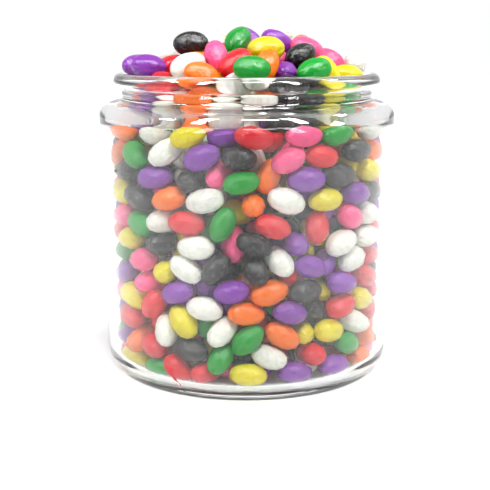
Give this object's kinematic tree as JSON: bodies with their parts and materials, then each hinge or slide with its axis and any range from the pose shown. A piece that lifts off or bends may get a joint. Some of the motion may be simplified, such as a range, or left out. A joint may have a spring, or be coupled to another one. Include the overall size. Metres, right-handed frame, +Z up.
{
  "type": "filled candy jar",
  "caption": "Clear glass wide-mouth candy jar with a rounded lip, packed with glossy oval candy beans in mixed colours and heaped above the rim.",
  "frame": {"origin": "on the jar's axis, in the plane of its resting ring", "axes": "+Z up along the jar's axis, -Y towards the viewer, the side that the heap's front faces"},
  "size_m": [0.158, 0.158, 0.1842],
  "materials": {
    "glass": "clear pressed glass, polished",
    "candy_mixed": "candy beans of every colour, glossy sugar shell",
    "candy_purple": "glossy purple sugar shell, finely mottled",
    "candy_pink": "glossy pink sugar shell, finely mottled",
    "candy_black": "glossy black sugar shell, finely mottled",
    "candy_white": "glossy white sugar shell, finely mottled",
    "candy_orange": "glossy orange sugar shell, finely mottled",
    "candy_yellow": "glossy yellow sugar shell, finely mottled",
    "candy_green": "glossy green sugar shell, finely mottled",
    "candy_red": "glossy red sugar shell, finely mottled"
  },
  "bodies": {
    "filled_jar": {"glass_jar": "glass", "packed_beans": "candy_mixed", "heap_bean_03_red": "candy_red", "heap_bean_06_white": "candy_white", "heap_bean_09_black": "candy_black", "heap_bean_10_purple": "candy_purple", "heap_bean_28_red": "candy_red", "heap_bean_32_pink": "candy_pink", "heap_bean_33_purple": "candy_purple", "heap_bean_34_purple": "candy_purple", "heap_bean_37_black": "candy_black", "heap_bean_39_purple": "candy_purple"},
    "bean_01": {"heap_bean_01_purple": "candy_purple"},
    "bean_02": {"heap_bean_02_purple": "candy_purple"},
    "bean_04": {"heap_bean_04_white": "candy_white"},
    "bean_05": {"heap_bean_05_orange": "candy_orange"},
    "bean_07": {"heap_bean_07_green": "candy_green"},
    "bean_08": {"heap_bean_08_orange": "candy_orange"},
    "bean_11": {"heap_bean_11_green": "candy_green"},
    "bean_12": {"heap_bean_12_yellow": "candy_yellow"},
    "bean_13": {"heap_bean_13_yellow": "candy_yellow"},
    "bean_14": {"heap_bean_14_white": "candy_white"},
    "bean_15": {"heap_bean_15_black": "candy_black"},
    "bean_16": {"heap_bean_16_pink": "candy_pink"},
    "bean_17": {"heap_bean_17_red": "candy_red"},
    "bean_18": {"heap_bean_18_green": "candy_green"},
    "bean_19": {"heap_bean_19_yellow": "candy_yellow"},
    "bean_20": {"heap_bean_20_purple": "candy_purple"},
    "bean_21": {"heap_bean_21_purple": "candy_purple"},
    "bean_22": {"heap_bean_22_white": "candy_white"},
    "bean_23": {"heap_bean_23_white": "candy_white"},
    "bean_24": {"heap_bean_24_orange": "candy_orange"},
    "bean_25": {"heap_bean_25_pink": "candy_pink"},
    "bean_26": {"heap_bean_26_black": "candy_black"},
    "bean_27": {"heap_bean_27_pink": "candy_pink"},
    "bean_29": {"heap_bean_29_orange": "candy_orange"},
    "bean_30": {"heap_bean_30_pink": "candy_pink"},
    "bean_31": {"heap_bean_31_white": "candy_white"},
    "bean_35": {"heap_bean_35_white": "candy_white"},
    "bean_36": {"heap_bean_36_green": "candy_green"},
    "bean_38": {"heap_bean_38_green": "candy_green"},
    "bean_40": {"heap_bean_40_purple": "candy_purple"},
    "bean_41": {"heap_bean_41_orange": "candy_orange"},
    "bean_42": {"heap_bean_42_black": "candy_black"},
    "bean_43": {"heap_bean_43_pink": "candy_pink"},
    "bean_44": {"heap_bean_44_white": "candy_white"},
    "bean_45": {"heap_bean_45_white": "candy_white"},
    "bean_46": {"heap_bean_46_purple": "candy_purple"},
    "bean_47": {"heap_bean_47_orange": "candy_orange"},
    "bean_48": {"heap_bean_48_white": "candy_white"},
    "bean_49": {"heap_bean_49_orange": "candy_orange"},
    "bean_50": {"heap_bean_50_yellow": "candy_yellow"},
    "bean_51": {"heap_bean_51_black": "candy_black"}
  },
  "joints": [
    {"name": "lift_bean_01", "type": "slide", "parent": "filled_jar", "child": "bean_01", "axis": [-0.7108, -0.0801, 0.6988], "range_m": [0, 0.045]},
    {"name": "lift_bean_02", "type": "slide", "parent": "filled_jar", "child": "bean_02", "axis": [-0.63, -0.3114, 0.7115], "range_m": [0, 0.045]},
    {"name": "lift_bean_04", "type": "slide", "parent": "filled_jar", "child": "bean_04", "axis": [-0.3744, -0.5057, 0.7772], "range_m": [0, 0.045]},
    {"name": "lift_bean_05", "type": "slide", "parent": "filled_jar", "child": "bean_05", "axis": [-0.2766, -0.6365, 0.72], "range_m": [0, 0.045]},
    {"name": "lift_bean_07", "type": "slide", "parent": "filled_jar", "child": "bean_07", "axis": [0.0302, -0.7395, 0.6724], "range_m": [0, 0.045]},
    {"name": "lift_bean_08", "type": "slide", "parent": "filled_jar", "child": "bean_08", "axis": [0.2576, -0.2445, 0.9348], "range_m": [0, 0.03]},
    {"name": "lift_bean_11", "type": "slide", "parent": "filled_jar", "child": "bean_11", "axis": [0.4214, -0.5463, 0.7239], "range_m": [0, 0.045]},
    {"name": "lift_bean_12", "type": "slide", "parent": "filled_jar", "child": "bean_12", "axis": [0.5176, -0.376, 0.7686], "range_m": [0, 0.045]},
    {"name": "lift_bean_13", "type": "slide", "parent": "filled_jar", "child": "bean_13", "axis": [0.4465, -0.0858, 0.8907], "range_m": [0, 0.045]},
    {"name": "lift_bean_14", "type": "slide", "parent": "filled_jar", "child": "bean_14", "axis": [0.7275, 0.0731, 0.6822], "range_m": [0, 0.045]},
    {"name": "lift_bean_15", "type": "slide", "parent": "filled_jar", "child": "bean_15", "axis": [-0.343, -0.1718, 0.9235], "range_m": [0, 0.045]},
    {"name": "lift_bean_16", "type": "slide", "parent": "filled_jar", "child": "bean_16", "axis": [-0.1881, -0.3999, 0.8971], "range_m": [0, 0.045]},
    {"name": "lift_bean_17", "type": "slide", "parent": "filled_jar", "child": "bean_17", "axis": [-0.071, -0.5454, 0.8352], "range_m": [0, 0.045]},
    {"name": "lift_bean_18", "type": "slide", "parent": "filled_jar", "child": "bean_18", "axis": [-0.0372, -0.1145, 0.9927], "range_m": [0, 0.045]},
    {"name": "lift_bean_19", "type": "slide", "parent": "filled_jar", "child": "bean_19", "axis": [0.1183, -0.4328, 0.8937], "range_m": [0, 0.045]},
    {"name": "lift_bean_20", "type": "slide", "parent": "filled_jar", "child": "bean_20", "axis": [0.1342, -0.0322, 0.9904], "range_m": [0, 0.045]},
    {"name": "lift_bean_21", "type": "slide", "parent": "filled_jar", "child": "bean_21", "axis": [-0.1371, 0.0582, 0.9888], "range_m": [0, 0.045]},
    {"name": "lift_bean_22", "type": "slide", "parent": "filled_jar", "child": "bean_22", "axis": [-0.1512, 0.0351, 0.9879], "range_m": [0, 0.045]},
    {"name": "lift_bean_23", "type": "slide", "parent": "filled_jar", "child": "bean_23", "axis": [0.1586, 0.1243, 0.9795], "range_m": [0, 0.045]},
    {"name": "lift_bean_24", "type": "slide", "parent": "filled_jar", "child": "bean_24", "axis": [0.3519, 0.0588, 0.9342], "range_m": [0, 0.045]},
    {"name": "lift_bean_25", "type": "slide", "parent": "filled_jar", "child": "bean_25", "axis": [0.3757, -0.11, 0.9202], "range_m": [0, 0.045]},
    {"name": "lift_bean_26", "type": "slide", "parent": "filled_jar", "child": "bean_26", "axis": [0.3404, -0.3372, 0.8777], "range_m": [0, 0.045]},
    {"name": "lift_bean_27", "type": "slide", "parent": "filled_jar", "child": "bean_27", "axis": [0.1764, -0.0037, 0.9843], "range_m": [0, 0.03]},
    {"name": "lift_bean_29", "type": "slide", "parent": "filled_jar", "child": "bean_29", "axis": [-0.7085, -0.3943, 0.5853], "range_m": [0, 0.045]},
    {"name": "lift_bean_30", "type": "slide", "parent": "filled_jar", "child": "bean_30", "axis": [0.0568, 0.412, 0.9094], "range_m": [0, 0.045]},
    {"name": "lift_bean_31", "type": "slide", "parent": "filled_jar", "child": "bean_31", "axis": [-0.5344, 0.0467, 0.844], "range_m": [0, 0.045]},
    {"name": "lift_bean_35", "type": "slide", "parent": "filled_jar", "child": "bean_35", "axis": [-0.432, -0.0142, 0.9018], "range_m": [0, 0.045]},
    {"name": "lift_bean_36", "type": "slide", "parent": "filled_jar", "child": "bean_36", "axis": [0.2159, 0.5231, 0.8245], "range_m": [0, 0.045]},
    {"name": "lift_bean_38", "type": "slide", "parent": "filled_jar", "child": "bean_38", "axis": [0.5462, 0.375, 0.749], "range_m": [0, 0.045]},
    {"name": "lift_bean_40", "type": "slide", "parent": "filled_jar", "child": "bean_40", "axis": [0.0481, 0.6527, 0.7561], "range_m": [0, 0.045]},
    {"name": "lift_bean_41", "type": "slide", "parent": "filled_jar", "child": "bean_41", "axis": [-0.5543, 0.4783, 0.6812], "range_m": [0, 0.045]},
    {"name": "lift_bean_42", "type": "slide", "parent": "filled_jar", "child": "bean_42", "axis": [-0.2313, 0.7039, 0.6715], "range_m": [0, 0.045]},
    {"name": "lift_bean_43", "type": "slide", "parent": "filled_jar", "child": "bean_43", "axis": [0.2665, 0.4893, 0.8304], "range_m": [0, 0.045]},
    {"name": "lift_bean_44", "type": "slide", "parent": "filled_jar", "child": "bean_44", "axis": [0.451, 0.2645, 0.8524], "range_m": [0, 0.045]},
    {"name": "lift_bean_45", "type": "slide", "parent": "filled_jar", "child": "bean_45", "axis": [0.2715, 0.6292, 0.7283], "range_m": [0, 0.03]},
    {"name": "lift_bean_46", "type": "slide", "parent": "filled_jar", "child": "bean_46", "axis": [-0.3493, 0.3469, 0.8704], "range_m": [0, 0.045]},
    {"name": "lift_bean_47", "type": "slide", "parent": "filled_jar", "child": "bean_47", "axis": [-0.1095, 0.4478, 0.8874], "range_m": [0, 0.045]},
    {"name": "lift_bean_48", "type": "slide", "parent": "filled_jar", "child": "bean_48", "axis": [-0.3459, 0.312, 0.8849], "range_m": [0, 0.045]},
    {"name": "lift_bean_49", "type": "slide", "parent": "filled_jar", "child": "bean_49", "axis": [0.1837, 0.2953, 0.9376], "range_m": [0, 0.045]},
    {"name": "lift_bean_50", "type": "slide", "parent": "filled_jar", "child": "bean_50", "axis": [-0.1895, 0.1993, 0.9614], "range_m": [0, 0.045]},
    {"name": "lift_bean_51", "type": "slide", "parent": "filled_jar", "child": "bean_51", "axis": [0.1313, 0.221, 0.9664], "range_m": [0, 0.045]}
  ]
}
